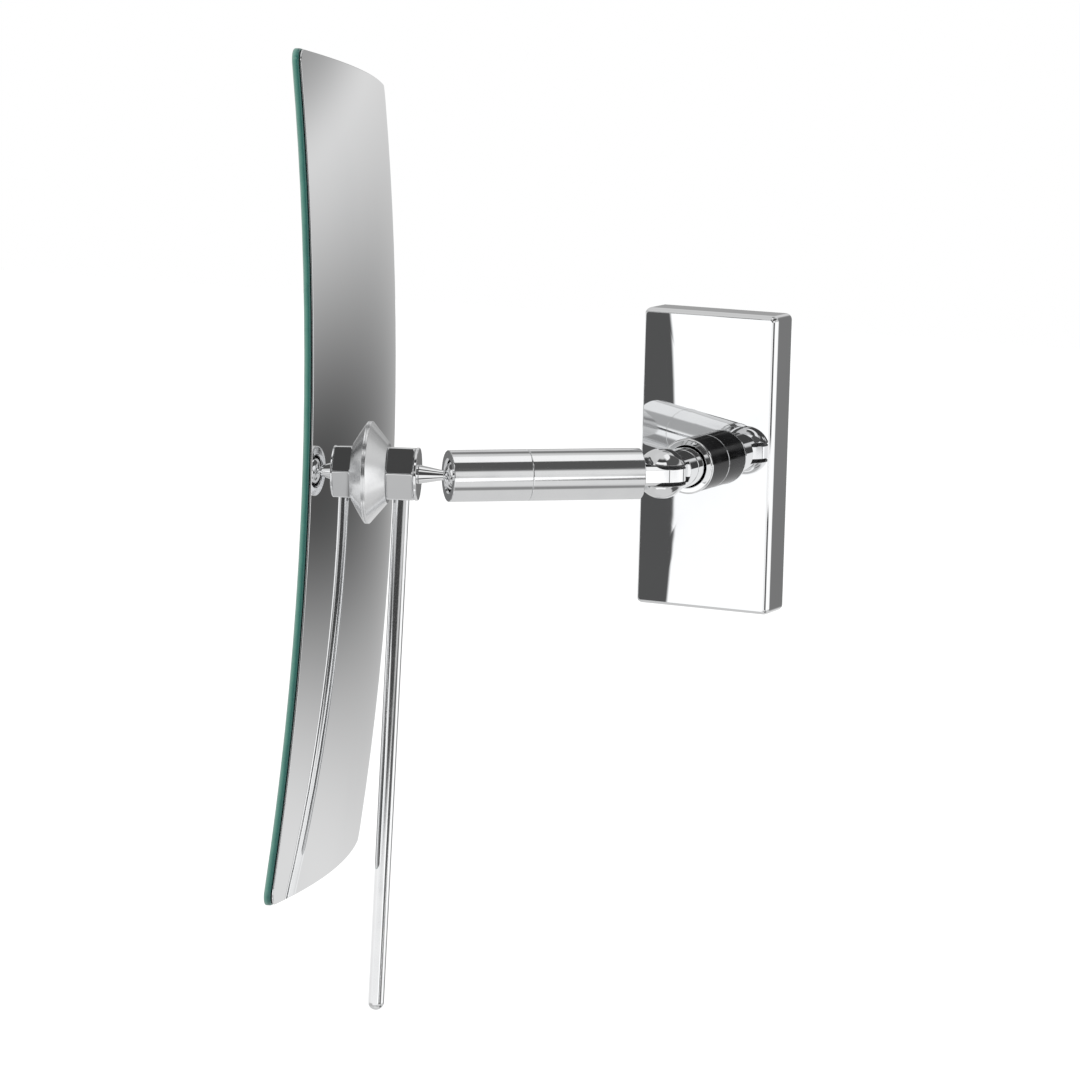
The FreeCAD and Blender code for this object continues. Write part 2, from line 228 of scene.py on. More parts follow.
def makeHandling():
    # Wiped-on haze and fine polishing lines: roughness that drifts, a faint tint, a hair of height
    group, given, out = newGroup(
        "handlingHaze",
        [("Vector", "Vector", None), ("Clear", "Float", 0.03), ("Hazy", "Float", 0.07), ("Patch", "Float", 45.0),
         ("Lines", "Float", 900.0)],
        [("Roughness", "Float", None), ("Haze", "Float", None), ("Height", "Float", None)])
    patch = addNode(group, "ShaderNodeTexNoise", {"Vector": given["Vector"], "Scale": given["Patch"],
                                                  "Detail": 4.0, "Roughness": 0.55})
    haze = addNode(group, "ShaderNodeMapRange", {"Value": patch.outputs["Fac"], "From Min": 0.42,
                                                 "From Max": 0.72}, interpolation_type="SMOOTHSTEP")
    lines = addNode(group, "ShaderNodeTexNoise", {"Vector": given["Vector"], "Scale": given["Lines"],
                                                  "Detail": 2.0})
    spread = addNode(group, "ShaderNodeMapRange", {"Value": haze.outputs["Result"], "To Min": given["Clear"],
                                                   "To Max": given["Hazy"]})
    group.links.new(spread.outputs["Result"], out["Roughness"])
    group.links.new(haze.outputs["Result"], out["Haze"])
    group.links.new(lines.outputs["Fac"], out["Height"])
    return group


def newMaterial(name, **sockets):
    material = bpy.data.materials.new(name)
    material.use_nodes = True
    tree = material.node_tree
    shader = tree.nodes["Principled BSDF"]
    for key, value in sockets.items():
        shader.inputs[key.replace("_", " ")].default_value = value
    coords = addNode(tree, "ShaderNodeTexCoord")
    return material, tree, shader, coords.outputs["Object"]


def handled(tree, shader, coords, tones, roughness, patch, lines, bump=0):
    # Places the haze in a material: colour between two tones, roughness from clear to hazy, the scales of the
    # patches and the polishing lines, and a bump of that depth in metres
    haze = addNode(tree, "ShaderNodeGroup", node_tree=handling)
    for key, value in (("Clear", roughness[0]), ("Hazy", roughness[1]), ("Patch", patch), ("Lines", lines)):
        haze.inputs[key].default_value = value
    tree.links.new(coords, haze.inputs["Vector"])
    if tones:
        tone = addNode(tree, "ShaderNodeMix", {"Factor": haze.outputs["Haze"]}, data_type="RGBA")
        for key, colour in zip("AB", tones):
            tone.inputs[key].default_value = (*colour, 1)
        tree.links.new(tone.outputs["Result"], shader.inputs["Base Color"])
    tree.links.new(haze.outputs["Roughness"], shader.inputs["Roughness"])
    if bump:
        raised = addNode(tree, "ShaderNodeBump", {"Strength": 1.0, "Distance": bump,
                                                  "Height": haze.outputs["Height"]})
        tree.links.new(raised.outputs["Normal"], shader.inputs["Normal"])
    return haze


handling = makeHandling()


def plainFinish(name, tones, roughness, patch, lines, bump=0, **sockets):
    # A finish that shows nothing but its handling
    material, tree, shader, coords = newMaterial(name, **sockets)
    handled(tree, shader, coords, tones, roughness, patch, lines, bump)
    return material


def polishedChrome(name, clear=0.02, hazy=0.05, patch=40.0):
    tones = (0.90, 0.905, 0.91), (0.87, 0.875, 0.885)
    return plainFinish(name, tones, (clear, hazy), patch, lines=1500.0, Metallic=1.0)


def brightSteel(name, stretch):
    # Rolled steel: grain drawn out along one direction
    material, tree, shader, coords = newMaterial(name, Metallic=1.0)
    drawn = addNode(tree, "ShaderNodeMapping", {"Vector": coords, "Scale": stretch})
    tones = (0.60, 0.60, 0.61), (0.50, 0.50, 0.515)
    handled(tree, shader, drawn.outputs["Vector"], tones, (0.22, 0.36), patch=60.0, lines=1400.0, bump=6e-6)
    return material


def groundEdge(centre, front, back):
    # Seamed edge of float glass: its own green tint, with painted light at the front arris and painted shade
    # deepening towards the back
    material, tree, shader, coords = newMaterial("groundEdge", Coat_Weight=0.25, Coat_Roughness=0.08)
    haze = handled(tree, shader, coords, None, (0.16, 0.30), patch=160.0, lines=2600.0, bump=3e-6)
    reach = addNode(tree, "ShaderNodeVectorMath", {0: coords, 1: centre}, operation="DISTANCE")
    depth = addNode(tree, "ShaderNodeMapRange", {"Value": reach.outputs["Value"], "From Min": front,
                                                 "From Max": back})
    drift = addNode(tree, "ShaderNodeMath", {0: haze.outputs["Haze"], 1: 0.10, 2: depth.outputs["Result"]},
                    operation="MULTIPLY_ADD")  # the haze moves the colour by a tenth of the depth
    ramp = addNode(tree, "ShaderNodeValToRGB", {"Fac": drift.outputs[0]})
    # painted light and shade across the glass thickness: pale green at the front arris, dark teal at the back
    paintedShadeStops = ((0.0, (0.26, 0.37, 0.33, 1)), (0.35, (0.13, 0.30, 0.245, 1)), (0.75, (0.026, 0.135, 0.112, 1)),
             (1.0, (0.030, 0.120, 0.105, 1)))
    for place, colour in paintedShadeStops:
        ends = {0.0: 0, 1.0: -1}
        stop = ramp.color_ramp.elements[ends[place]] if place in ends else ramp.color_ramp.elements.new(place)
        stop.color = colour
    tree.links.new(ramp.outputs["Color"], shader.inputs["Base Color"])
    return material


chrome = polishedChrome("polishedChrome")
chromeSheet = polishedChrome("chromeSheet", 0.005, 0.02, 12.0)
chromeCover = polishedChrome("chromeCover", 0.004, 0.016, 25.0)
chromeTube = polishedChrome("chromeTube", 0.07, 0.10, 60.0)
chromeSatin = polishedChrome("chromeSatin", 0.22, 0.28, 80.0)
sleeveBlack = plainFinish("blackSleeve", ((0.006, 0.006, 0.006), (0.012, 0.012, 0.013)), (0.12, 0.22), patch=120.0,
                          lines=2500.0, bump=2e-6, Specular_IOR_Level=0.15)
steelSheet = brightSteel("steelSheet", (1.0, 1.0, 0.06))
steelTurned = brightSteel("steelTurned", (0.3, 1.0, 1.0))
plastic = plainFinish("slipPlastic", ((0.030, 0.030, 0.032), (0.048, 0.048, 0.050)), (0.38, 0.52), patch=300.0,
                      lines=4000.0, bump=8e-6)
bond = plainFinish("bondPad", ((0.018, 0.019, 0.020), (0.034, 0.035, 0.036)), (0.55, 0.75), patch=500.0,
                   lines=5000.0, bump=2e-5)
silvered = plainFinish("silveredFace", ((0.90, 0.925, 0.915), (0.885, 0.91, 0.90)), (0.0, 0.018), patch=14.0,
                       lines=1500.0, Metallic=1.0, Coat_Weight=0.4, Coat_Roughness=0.0)
paint = plainFinish("backingPaint", ((0.060, 0.066, 0.068), (0.085, 0.092, 0.094)), (0.45, 0.6), patch=70.0,
                    lines=1800.0, bump=6e-6)
print("finishes made:", len(bpy.data.materials))


# Cover on the wall

cover = {"width": 45.7, "height": 95.2, "depth": 13.3, "wall": 1.5, "corner": 2.0, "edge": (1.3, 3.2),
         "edgeRows": 15, "innerCorner": 0.8, "backEdge": 0.1, "innerEdge": 0.2, "screwHole": 3.25,
         "grubHole": 2.04, "grubFromWall": 5.0, "grubPatch": 3.0, "lead": 0.12, "holeSides": 32}
boxSteps, boxRuns = 8, 7  # steps round a corner and stretches along a side of the cover's outline


def boxOutline(width, height, corner, inset, steps=boxSteps, runs=boxRuns):
    # Rounded rectangle drawn in by the inset, clockwise, so that its normals point out
    y, z = width / 2 - inset, height / 2 - inset
    r = max(corner - inset, 0.25)
    return softPath([(-y, -z, r), (-y, z, r), (y, z, r), (y, -z, r)], True, steps, runs)


def coverShell(c):
    # Rows of (inset, depth) carried round the outline: face, front edge, outside, back rim, inside, inner face
    turn = math.pi / 2 * np.linspace(0, 1, c["edgeRows"]) ** 1.5  # closer together where the edge leaves the face
    low, high = c["grubFromWall"] - c["grubPatch"], c["grubFromWall"] + c["grubPatch"]
    face = c["depth"] - c["wall"]
    a, b = c["edge"]  # quarter ellipse, drawn out along the sides
    edge = []
    for t in turn:
        out, ahead = b * math.sin(t), a * math.cos(t)
        steep = math.hypot(out, ahead)
        edge.append((a * (1 - math.sin(t)), c["depth"] - b * (1 - math.cos(t)), out / steep, ahead / steep))
    back, inner = c["backEdge"], c["innerEdge"]
    rows = edge + [(0, high, 1, 0), (0, low, 1, 0), (0, back, 1, 0), (back, 0, 0, -1),
                   (c["wall"] - back, 0, 0, -1), (c["wall"], back, -1, 0), (c["wall"], low, -1, 0),
                   (c["wall"], high, -1, 0),
                   (c["wall"], face - inner, -1, 0), (c["wall"] + inner, face, 0, -1)]
    points, normals = [], []
    for inset, depth, sideways, along in rows:
        corner = c["corner"] if inset < c["wall"] else c["innerCorner"] + inset
        path = boxOutline(c["width"], c["height"], corner, inset)
        flat = np.full(len(path), 1.0)
        points.append(np.stack([flat * depth, path[:, 0], path[:, 1]], 1))
        normals.append(np.stack([flat * along, path[:, 2] * sideways, path[:, 3] * sideways], 1))
    bearing = np.arctan2(points[0][:, 2], points[0][:, 1])
    hole = np.stack([np.zeros_like(bearing), np.cos(bearing), np.sin(bearing)], 1) * c["screwHole"]
    forward = np.array([1.0, 0, 0])
    points = [hole + forward * c["depth"]] + points + [hole + forward * face]
    normals = [np.tile(forward, (len(hole), 1))] + normals + [np.tile(-forward, (len(hole), 1))]
    shell = loftShell(np.stack(points), np.stack(normals), True)
    patches = [(0, high, 1, 0), (c["wall"], low, -1, 0)]  # rows where the grub hole's patches begin
    return grubHole(shell, c, len(hole), *[1 + rows.index(patch) for patch in patches])


def grubHole(shell, c, columns, outerRow, innerRow):
    # Opens the middle patch of the lower wall to a round hole: square to circle, through, circle to square
    perSide = (boxSteps + 1) + (boxRuns - 1)  # arc points of a corner and the points of the run that follows
    middle = 3 * perSide + boxSteps + boxRuns // 2
    points, normals, quads = shell["points"], shell["normals"], shell["faces"][0]
    count = c["holeSides"]
    a = np.radians(45) + np.linspace(0, 2 * math.pi, count, endpoint=False)
    levels = [(-c["height"] / 2, c["lead"]), (-c["height"] / 2 + c["lead"], 0),
              (-c["height"] / 2 + c["wall"] - c["lead"], 0), (-c["height"] / 2 + c["wall"], c["lead"])]
    loops, loopNormals = [], []
    for k, (z, lead) in enumerate(levels):
        r = c["grubHole"] + lead
        loops.append(np.stack([c["grubFromWall"] + r * np.cos(a), r * np.sin(a), np.full(count, z)], 1))
        axial = np.tile([0, 0, -1.0 if k == 0 else 1.0], (count, 1))
        inward = np.stack([-np.cos(a), -np.sin(a), np.zeros(count)], 1)
        loopNormals.append(axial if k in (0, 3) else inward)
    first = len(points)
    through = ringQuads(4, count) + first
    drop = []
    fans = []
    for row, loop in ((outerRow, 0), (innerRow, 3)):
        r0, r1 = row * columns, (row + 1) * columns
        corners = np.array([r0 + middle, r0 + middle + 1, r1 + middle + 1, r1 + middle])
        drop.append(row * columns + middle)
        place = points[corners] - [c["grubFromWall"], 0, 0]
        order = np.argsort(np.arctan2(place[:, 1], place[:, 0]))  # -135, -45, 45, 135 degrees
        corners = corners[order][[2, 3, 0, 1]]
        ring = first + loop * count + np.arange(count)
        quarter = count // 4
        for k in range(4):
            run = ring[(np.arange(quarter + 1) + k * quarter - quarter // 2) % count]
            fans.append(np.stack([np.full(quarter, corners[k]), run[:-1], run[1:]], 1))
            fans.append(np.array([[corners[k], run[-1], corners[(k + 1) % 4]]]))
    fans = np.vstack(fans)
    points = np.vstack([points] + loops)
    normals = np.vstack([normals] + loopNormals)
    keep = np.delete(quads, drop, 0)
    faceNormal = np.cross(points[fans[:, 1]] - points[fans[:, 0]], points[fans[:, 2]] - points[fans[:, 0]])
    gridNormal = np.cross(points[keep[:, 1]] - points[keep[:, 0]], points[keep[:, 2]] - points[keep[:, 0]])
    agree = np.sign(np.einsum("ij,ij->", gridNormal, normals[keep[:, 0]]))
    wrong = np.einsum("ij,ij->i", faceNormal, normals[fans[:, 1]]) * agree < 0
    fans[wrong] = fans[wrong][:, [0, 2, 1]]
    wall = np.cross(points[through[:, 1]] - points[through[:, 0]], points[through[:, 2]] - points[through[:, 0]])
    if np.einsum("ij,ij->", wall, normals[through[:, 1]]) * agree < 0:
        through = through[:, ::-1]
    return {"points": points, "normals": normals, "faces": [keep, fans, through]}


makePiece("coverPlate", [coverShell(cover)], onWall, "base", ["wall_cover"], [chromeCover])

# Dark barrel and its bright rim

barrel = {"from": cover["depth"], "length": 14.2, "bore": cover["screwHole"], "rimInner": 6.7, "rimOuter": 8.8,
          "rimT": 1.3, "step": 0.15, "recess": 4.5, "edge": 0.3, "rimEdge": 0.75, "sides": 160,
          "bareRows": (6, 10)}


def barrelShells(b):
    x0, x1 = b["from"], b["from"] + b["length"]
    seat, floor = x1 - b["rimT"], x1 - b["recess"]
    r = b["rimOuter"] - b["step"]
    sleeve = softPath([(x0, b["bore"], 0.1), (x0, r, b["edge"]), (seat, r, 0.05), (seat, b["rimInner"], 0.05),
                       (floor, b["rimInner"], 0.2), (floor, b["bore"], 0.1)], True)
    rim = softPath([(seat, b["rimInner"], 0.05), (seat, b["rimOuter"], 0.12), (x1, b["rimOuter"], b["rimEdge"]),
                    (x1, b["rimInner"], 0.3)], True, 7)
    sleeve, rim = [turnedShell(path, b["sides"], True) for path in (sleeve, rim)]
    rows = np.arange(len(sleeve["faces"][0])) // b["sides"]
    first, last = b["bareRows"]  # bare edge where it meets the cover
    sleeve["shade"] = [((rows >= first) & (rows <= last)).astype(int)]
    return sleeve, rim


sleeveShell, rimShell = barrelShells(barrel)
makePiece("barrelSleeve", [sleeveShell], onWall, "base", ["barrel"], [sleeveBlack, chrome])
makePiece("barrelRim", [rimShell], onWall, "base", ["rim_ring"], [chrome])

# Elbow: two caps of a ball on a round neck, the tongue between them, the pin through all three

elbow = {"ball": 7.9, "slot": 6.4, "room": 0.4, "neck": 6.3, "neckEnd": 23.5, "neckEdge": 0.5, "lugEnd": 4.0,
         "lugStart": 9.5, "lugInset": 0.004, "pinHole": 2.03, "pin": 2.0, "pinDome": 7.85, "edge": 0.22,
         "tongueT": 5.9, "tongueHalf": 7.4362, "tongueEdge": 1.0, "tongueFlat": 0.3, "tongueEnd": stand["tubeAt"],
         "plug": 6.85, "plugLength": 14.0}


def capShell(e):
    # Upper cap, turned about the pin: slot face, ball surface, pin hole
    half, ball, hole = e["slot"] / 2, e["ball"], e["pinHole"]
    a0, a1 = math.degrees(math.acos(half / ball)), math.degrees(math.asin(hole / ball))
    arc = arcNodes(0, ball, a0 - 2.5, a1 + 1.2, 40)
    brim = (half, math.sqrt(ball ** 2 - half ** 2), e["edge"])
    top = (math.sqrt(ball ** 2 - hole ** 2), hole, 0.08)
    return turnedShell(softPath([(half, hole, 0.05), brim] + arc + [top], True), 192, True, 2)


def neckShells(e):
    # Round neck up to the slot's flat end, and the two lugs that carry the caps
    back, end, r = -e["neckEnd"], -e["ball"] - e["room"], e["neck"]
    neck = turnedShell(softPath([(back, 0, 0), (back, r, e["neckEdge"]), (end, r, 0.15), (end, 0, 0)]), 160)
    lugs = []
    r, half = e["neck"] - e["lugInset"], e["slot"] / 2
    start = math.asin(half / r)
    around = np.linspace(math.pi - start, start, 48)
    nodes = [(r * math.cos(t), r * math.sin(t), -1) for t in around]
    nodes[0], nodes[-1] = (*nodes[0][:2], 0.08), (*nodes[-1][:2], 0.08)
    path = softPath(nodes, True, 3)
    for up in (1, -1):
        xs = (-e["lugStart"], -e["lugEnd"])
        loops = np.stack([np.stack([np.full(len(path), x), path[:, 0], up * path[:, 1]], 1) for x in xs])
        sideways = np.stack([np.zeros(len(path)), path[:, 2], up * path[:, 3]], 1)
        lugs.append(loftShell(loops, np.stack([sideways, sideways]), False, "flat", "flat"))
    return [neck] + lugs


def upsideDown(shell):
    # The same shell mirrored in the level plane
    flip = np.array([1, 1, -1.0])
    return {"points": shell["points"] * flip, "normals": shell["normals"] * flip, "faces": list(shell["faces"])}


def pinShell(e):
    tip = math.degrees(math.asin(e["pin"] / e["pinDome"]))
    low = arcNodes(0, e["pinDome"], 180, 180 - tip + 1.2, 10)
    high = arcNodes(0, e["pinDome"], tip - 1.2, 0, 10)
    side = e["pinDome"] * math.cos(math.radians(tip))
    path = softPath(low + [(-side, e["pin"], 0.06), (side, e["pin"], 0.06)] + high)
    path[0, 1] = path[-1, 1] = 0
    return turnedShell(path, 64, False, 2)


def tongueShells(e):
    # Level outline of a bar with a half-round end, carried from the upper face over its bevels to the lower one
    edge, half = e["tongueEdge"], e["tongueT"] / 2
    flat = -edge - e["tongueFlat"]
    profile = [(flat, half, 0), (-edge, half, 0.1), (0, half - edge, 0.1), (0, edge - half, 0.1),
               (-edge, -half, 0.1), (flat, -half, 0)]
    rows = softPath(profile, False, 3) * [-1, 1, 1, 1]
    points, normals = [], []
    for inset, z, out, up in rows:
        w, end = e["tongueHalf"] - inset, e["tongueEnd"]
        around = np.linspace(-0.5, -1.5, 97) * math.pi
        disc = np.stack([w * np.cos(around), w * np.sin(around), np.cos(around), np.sin(around)], 1)
        path = np.vstack([disc, [[end, w, 0, 1], [end, -w, 0, -1]]])
        points.append(np.stack([path[:, 0], path[:, 1], np.full(len(path), z)], 1))
        normals.append(np.stack([path[:, 2] * out, path[:, 3] * out, np.full(len(path), up)], 1))
    tongue = loftShell(np.stack(points), np.stack(normals), False, "flat", "flat")
    x0, x1, r = e["tongueEnd"], e["tongueEnd"] + e["plugLength"], e["plug"]
    plug = turnedShell(softPath([(x0, 0, 0), (x0, r, 0.1), (x1, r, 0.3), (x1, 0, 0)]), 128)
    return [tongue, plug]


cap = capShell(elbow)
makePiece("elbowFork", [cap, upsideDown(cap)] + neckShells(elbow), onPivot, "base",
          ["elbow_fork"], [chrome])
makePiece("elbowPin", [pinShell(elbow)], onPivot, "base", ["hinge_pin"], [chrome])
makePiece("elbowTongue", tongueShells(elbow), onArm, "arm", ["arm_tongue"], [chrome])
print("wall end and elbow made")

# Arm of two tubes

tube = {"r": 8.0, "bore": 6.9, "start": stand["tubeAt"], "seam": mouthAt - stand["sleeveLength"], "mouth": mouthAt,
        "edge": 0.3, "seamEdge": 0.24, "lipT": 0.8, "lip": 5.0, "flare": 0.5}


def tubeShells(t):
    a, b, m, r, e = t["start"], t["seam"], t["mouth"], t["r"], t["edge"]
    rear = softPath([(a, t["bore"], 0.1), (a, r, e), (b, r, t["seamEdge"]), (b, t["bore"], 0.1)], True, 6)
    front = softPath([(b, t["bore"], 0.1), (b, r, t["seamEdge"]), (m, r, e), (m, t["lip"] + t["flare"], 0.15),
                      (m - t["lipT"], t["lip"], 0.1), (m - t["lipT"], t["bore"], 0.1)], True, 6)
    return turnedShell(rear, 192, True), turnedShell(front, 192, True)


rearShell, frontShell = tubeShells(tube)
makePiece("armTube", [rearShell], onArm, "arm", ["rear_tube"], [chromeTube])
makePiece("armSleeve", [frontShell], onArm, "arm", ["front_sleeve"], [chromeTube])

# Ball stud, collar, hexagon, rosette and rod

hub = {"ball": 5.5, "ballFlat": 0.9, "neck": 1.5, "base": 2.95, "shank": 2.5, "shankLength": 6.0, "shankFit": 0.05,
       "collarR": 8.2, "collarT": 1.0, "hexAcross": 16.0, "hexT": 8.5, "hexEdge": 0.55, "hexCorner": 3.2,
       "coneTop": 9.3, "coneBase": 15.8, "coneH": 5.9, "coneRim": 0.5, "coneBore": 2.24, "plateAt": 28.4,
       "plateRadius": 1027.8, "play": 0.06}
hub["coneAt"] = hub["plateAt"] - hub["coneH"]
hub["hexAt"] = hub["coneAt"] - hub["hexT"]
hub["collarAt"] = hub["hexAt"] - hub["collarT"]
hub["shankEnd"] = hub["hexAt"] + hub["shankLength"]
rod = {"r": 2.5, "at": hub["hexAt"] + hub["hexT"] / 2, "top": -3.63, "tip": -165.985, "lean": 0.9,
       "leanAt": -hub["hexAcross"] / 2}


def studShell(h):
    root = math.degrees(math.asin(h["neck"] / h["ball"]))
    back = h["ballFlat"] - h["ball"]
    flat = math.degrees(math.acos(back / h["ball"]))
    rim = math.sqrt(h["ball"] ** 2 - back ** 2)
    face = h["collarAt"] - h["play"]
    ball = arcNodes(0, h["ball"], flat - 3, root + 3, 60)
    joint = (h["ball"] * math.cos(math.radians(root)), h["neck"], 0.5)
    shank = [(face, h["shank"], 0.05), (h["shankEnd"], h["shank"], 0.2), (h["shankEnd"], 0, 0)]
    path = softPath([(back, 0, 0), (back, rim, 0.3)] + ball + [joint, (face, h["base"], 0.1)] + shank)
    return turnedShell(path, 144)


def collarShell(h):
    a, b, r, bore = h["collarAt"], h["hexAt"], h["collarR"], h["shank"] + h["shankFit"]
    return turnedShell(softPath([(a, bore, 0.05), (a, r, 0.3), (b, r, 0.25), (b, bore, 0.05)], True), 144, True)


def hexOutline(across, corner, inset):
    # Regular hexagon with two level flats and rounded corners, clockwise
    turn = -np.radians(60 * np.arange(6))
    reach = (across / 2 - inset) / math.cos(math.radians(30))
    return softPath([(reach * math.cos(t), reach * math.sin(t), corner) for t in turn], True, 6)


def hexShell(h):
    # Rows along the stud: the corners are cut back at both ends as on a turned blank. An end's row is its
    # distance, inset, corner and normal.
    ends = [(0.0, 0.16, h["hexCorner"], 0, -1), (0.10, 0.04, h["hexCorner"] * 0.9, 0.7, -0.7),
            (0.26, 0.0, h["hexCorner"] * 0.62, 1, -0.3), (0.55, 0.0, h["hexEdge"], 1, 0)]
    x0, x1 = h["hexAt"], h["coneAt"]
    rows = [(x0 + t, i, c, o, u) for t, i, c, o, u in ends]
    rows += [(x1 - t, i, c, o, -u) for t, i, c, o, u in ends[::-1]]
    points, normals = [], []
    for x, inset, corner, out, along in rows:
        path = hexOutline(h["hexAcross"], corner, inset)
        flat = np.ones(len(path))
        atCorner = np.abs(np.sin(3 * np.arctan2(path[:, 3], path[:, 2]) + math.pi / 2)) < 0.9
        slope = along if abs(along) > 0.5 else np.where(atCorner, along, 0)
        points.append(np.stack([flat * x, path[:, 0], path[:, 1]], 1))
        normals.append(np.stack([flat * slope, path[:, 2] * out, path[:, 3] * out], 1))
    return loftShell(np.stack(points), np.stack(normals), False, "flat", "flat")


def coneShell(h):
    # Flared rosette whose broad end lies on the plate's curve
    def onPlate(r):
        return h["plateAt"] + h["plateRadius"] - math.sqrt(h["plateRadius"] ** 2 - r ** 2)

    base, bore = h["coneBase"], h["coneBore"]
    inside = 0.6 * base  # one point of the curve between rim and bore
    path = softPath([(h["coneAt"], bore, 0.05), (h["coneAt"], h["coneTop"], 0.25),
                     (h["plateAt"] - h["coneRim"], base, 0.2), (onPlate(base), base, 0.05),
                     (onPlate(inside), inside, -1), (onPlate(bore), bore, 0.05)], True)
    return turnedShell(path, 192, True)


def rodShell(r):
    # Straight rod with a domed tip, turned about its own line and then leaned
    tip = arcNodes(-r["tip"] - r["r"], r["r"], 90, 0, 16)
    path = softPath([(-r["top"], 0, 0), (-r["top"], r["r"], 0.2)] + tip)
    path[-1, 1] = 0
    shell = turnedShell(path, 96)
    lean = turnAbout(1, -r["lean"])
    hinge = np.array([r["at"], 0, r["leanAt"]])
    down = turnAbout(1, 90)
    shell["points"] = (shell["points"] @ down.T + [r["at"], 0, 0] - hinge) @ lean.T + hinge
    shell["normals"] = shell["normals"] @ down.T @ lean.T
    return shell


makePiece("ballStud", [studShell(hub)], onHead, "stud", ["ball_stud"], [chrome])
makePiece("studCollar", [collarShell(hub)], onHead, "head", ["stud_collar"], [chrome])
makePiece("hexBlock", [hexShell(hub)], onHead, "head", ["hex_block"], [chrome])
makePiece("rosette", [coneShell(hub)], onHead, "head", ["hub_cone"], [chromeSatin])
makePiece("handleRod", [rodShell(rod)], onHead, "head", ["handle_rod"], [chromeTube])
print("arm and hub made")

# Curved glass and the plate behind it

mirror = {"width": 190.0, "height": 248.0, "corner": 5.0, "radius": 1025.0, "front": 31.2, "glassT": 2.0,
          "arris": 0.55, "plateAt": 28.9, "plateT": 0.5, "plateInset": 0.3, "plateEdge": 0.2, "sideRuns": 20,
          "rings": 12, "arrisSteps": 5}


def curvedSheet(m, front, thick, inset, corner, arris):
    # Points of a scaled rounded rectangle lifted onto the sphere x = centre - sqrt(R^2 - y^2 - z^2); rows run
    # from the middle of the front over the rounded edge to the middle of the back.
    centre = m["front"] + m["radius"]
    turn = np.radians(np.linspace(0, 90, m["arrisSteps"] + 1))
    spread = np.linspace(0, 1, m["rings"] + 1)[1:]
    rows = [(s, arris, 0.0, 0, 1) for s in spread]
    rows += [(1, arris * (1 - math.sin(t)), arris * (1 - math.cos(t)), math.sin(t), math.cos(t))
             for t in turn[1:]]
    rows += [(1, arris * (1 - math.cos(t)), thick - arris * (1 - math.sin(t)), math.cos(t), -math.sin(t))
             for t in turn]
    rows += [(s, arris, thick, 0, -1) for s in spread[::-1][1:]]
    points, normals = [], []
    for share, drawn, depth, out, ahead in rows:
        path = boxOutline(m["width"], m["height"], corner, inset + drawn, boxSteps, m["sideRuns"])
        yz = path[:, :2] * share
        ball = centre - front + depth
        x = centre - np.sqrt(ball ** 2 - (yz ** 2).sum(1))
        points.append(np.column_stack([x, yz]))
        toCentre = (np.array([centre, 0, 0]) - points[-1]) / ball
        sideways = np.column_stack([np.zeros(len(x)), path[:, 2:]])
        normals.append(sideways * out + toCentre * ahead)
    start, stop = ((front, 0, 0), (1, 0, 0)), ((front - thick, 0, 0), (-1, 0, 0))
    shell = loftShell(np.stack(points), np.stack(normals), False, start, stop)
    face, edge = m["rings"] - 1, 2 * m["arrisSteps"] + 1
    band = np.repeat(np.array([0] * face + [1] * edge + [2] * face), len(path))  # front, edge, back
    shell["shade"] = [band, 0, 2]
    return shell


sphereCentre = (onHead[0] @ np.array([mirror["front"] + mirror["radius"], 0, 0]) + onHead[1]) / 1000
glassEdge = groundEdge(tuple(sphereCentre), mirror["radius"] / 1000,
                       (mirror["radius"] + mirror["glassT"]) / 1000)
glassShell = curvedSheet(mirror, mirror["front"], mirror["glassT"], 0, mirror["corner"], mirror["arris"])
makePiece("mirrorGlass", [glassShell], onHead, "head", ["mirror_glass"], [silvered, glassEdge, paint])
plateShell = curvedSheet(mirror, mirror["plateAt"], mirror["plateT"], mirror["plateInset"],
                         mirror["corner"] + mirror["plateInset"], mirror["plateEdge"])
makePiece("backPlate", [plateShell], onHead, "head", ["back_plate"], [chromeSheet] * 3)
print("mirror made")

# Finishes of the pieces that keep their solid's own mesh

kept = {"wall_bracket": steelSheet, "cover_grub_screw": steelTurned, "spring_washer": steelTurned,
        "fixing_screw": steelTurned, "friction_washer_upper": plastic, "friction_washer_lower": plastic,
        "coupling_plug": steelTurned, "disc_spring": steelTurned, "seat_front": plastic, "seat_rear": plastic,
        "plate_stud": steelTurned, "bond_layer": bond}
for node, material in kept.items():
    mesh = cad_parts[node].data
    mesh.materials.clear()
    mesh.materials.append(material)

# Studio: white to the eye, soft panels and dark screens in the polished parts

studio = {"diffuse": 0.92, "base": 0.66, "floor": -0.75, "floorSize": 14.0, "floorTones": (0.80, 0.84),
          "floorGlow": 0.35, "lamp": 18.0, "lampSize": 2.2, "lampAt": (-0.9, -1.6, 2.2)}
